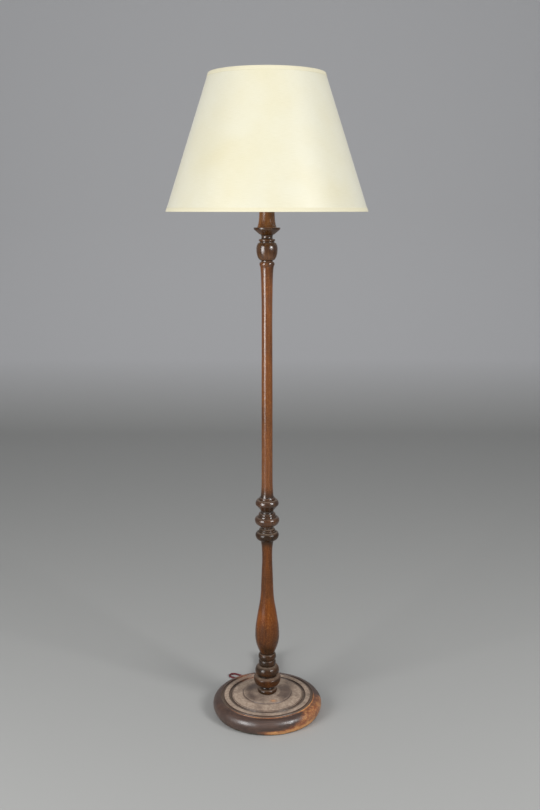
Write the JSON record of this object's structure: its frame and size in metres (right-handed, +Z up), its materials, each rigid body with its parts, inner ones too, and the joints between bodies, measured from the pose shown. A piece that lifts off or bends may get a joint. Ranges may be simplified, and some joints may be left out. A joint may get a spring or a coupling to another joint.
{
  "type": "floor lamp",
  "caption": "Candlestick floor lamp: a turned wooden stand on a round stepped base, with a harp-carried empire shade over a screw-base bulb socket and a rear cord.",
  "frame": {"origin": "centre of the base's underside, on the floor", "axes": "+Z up along the lamp's axis; the front faces -Y and the cord leaves the base at the rear left"},
  "size_m": [0.4568, 0.5114, 1.524],
  "materials": {
    "wood_base": "dark stained hardwood, worn varnish, dusty on its level faces",
    "wood_column": "dark stained hardwood under glossy varnish",
    "wood_capital": "near-black stained hardwood under glossy varnish",
    "baize": "green wool baize",
    "iron": "rough grey casting",
    "steel": "zinc-plated steel",
    "brass": "aged brass-plated steel",
    "brass_socket": "spun brass",
    "card": "fibre insulating card",
    "phenolic": "dark brown phenolic moulding",
    "bulb_insulator": "black glass insulator",
    "bulb_glass": "thin clear soda glass",
    "shade_fabric": "ivory silk-faced fabric laminated to styrene",
    "shade_tape": "self-coloured ivory tape",
    "conductors": "brown insulated conductors",
    "cord_cover": "maroon braided cover",
    "cord_fittings": "black rubber",
    "tie": "black cotton tape"
  },
  "bodies": {
    "stand": {"base_disc": "wood_base", "base_felt": "baize", "ballast_weight": "iron", "ballast_screws": "steel", "pipe_nut": "steel", "pipe_washer": "steel", "lower_column": "wood_column", "upper_column": "wood_column", "capital": "wood_capital", "candle_sleeve": "wood_capital", "lamp_pipe": "steel", "sleeve_ring": "brass", "harp_saddle": "brass", "saddle_nut": "steel", "socket_cap": "brass_socket", "socket_shell": "brass_socket", "socket_liner": "card", "socket_body": "phenolic", "screw_shell": "brass_socket", "centre_contact": "brass_socket", "cord_bushing": "cord_fittings", "cord_in_base": "cord_cover", "pipe_wires": "conductors", "cord_run": "cord_cover", "cord_hank": "cord_cover", "hank_tie": "tie", "plug_body": "cord_fittings", "plug_blades": "brass_socket"},
    "switch": {"switch_stem": "brass_socket", "switch_knob": "phenolic"},
    "harp": {"harp_wire": "brass", "harp_shoes": "brass", "harp_stud": "brass"},
    "left_ferrule": {"ferrule_left": "brass"},
    "right_ferrule": {"ferrule_right": "brass"},
    "shade": {"shade_spider": "brass", "shade_bottom_ring": "brass", "shade_cover": "shade_fabric", "shade_top_trim": "shade_tape", "shade_bottom_trim": "shade_tape"},
    "finial_washer": {"finial_washer": "brass"},
    "finial": {"finial": "brass"},
    "bulb_contact": {"bulb_contact": "bulb_insulator"},
    "bulb": {"bulb_cap": "brass_socket", "bulb_glass": "bulb_glass", "bulb_stem": "bulb_glass"}
  },
  "joints": [
    {"name": "knob_turn", "type": "hinge", "parent": "stand", "child": "switch", "pos_m": [0, -0.02, 1.304], "axis": [0, 1, 0], "continuous": true},
    {"name": "harp_lift", "type": "slide", "parent": "stand", "child": "harp", "axis": [0, 0, 1], "range_m": [0, 0.03]},
    {"name": "left_ferrule_lift", "type": "slide", "parent": "harp", "child": "left_ferrule", "axis": [0, 0, 1], "range_m": [0, 0.008]},
    {"name": "right_ferrule_lift", "type": "slide", "parent": "harp", "child": "right_ferrule", "axis": [0, 0, 1], "range_m": [0, 0.008]},
    {"name": "shade_turn", "type": "hinge", "parent": "harp", "child": "shade", "pos_m": [0, 0, 1.499], "axis": [0, 0, 1], "continuous": true},
    {"name": "finial_lift", "type": "slide", "parent": "harp", "child": "finial_washer", "axis": [0, 0, 1], "range_m": [0, 0.00752]},
    {"name": "finial_turn", "type": "hinge", "parent": "finial_washer", "child": "finial", "pos_m": [0, 0, 1.502], "axis": [0, 0, 1], "range_deg": [0, 2880]},
    {"name": "bulb_lift", "type": "slide", "parent": "stand", "child": "bulb_contact", "axis": [0, 0, 1], "range_m": [0, 0.0254]},
    {"name": "bulb_turn", "type": "hinge", "parent": "bulb_contact", "child": "bulb", "pos_m": [0, 0, 1.32], "axis": [0, 0, 1], "range_deg": [0, 2520]}
  ],
  "couplings": [
    {"joint": "finial_turn", "follows": "finial_lift", "rad_per_m": 6679},
    {"joint": "bulb_turn", "follows": "bulb_lift", "rad_per_m": 1731.5}
  ]
}
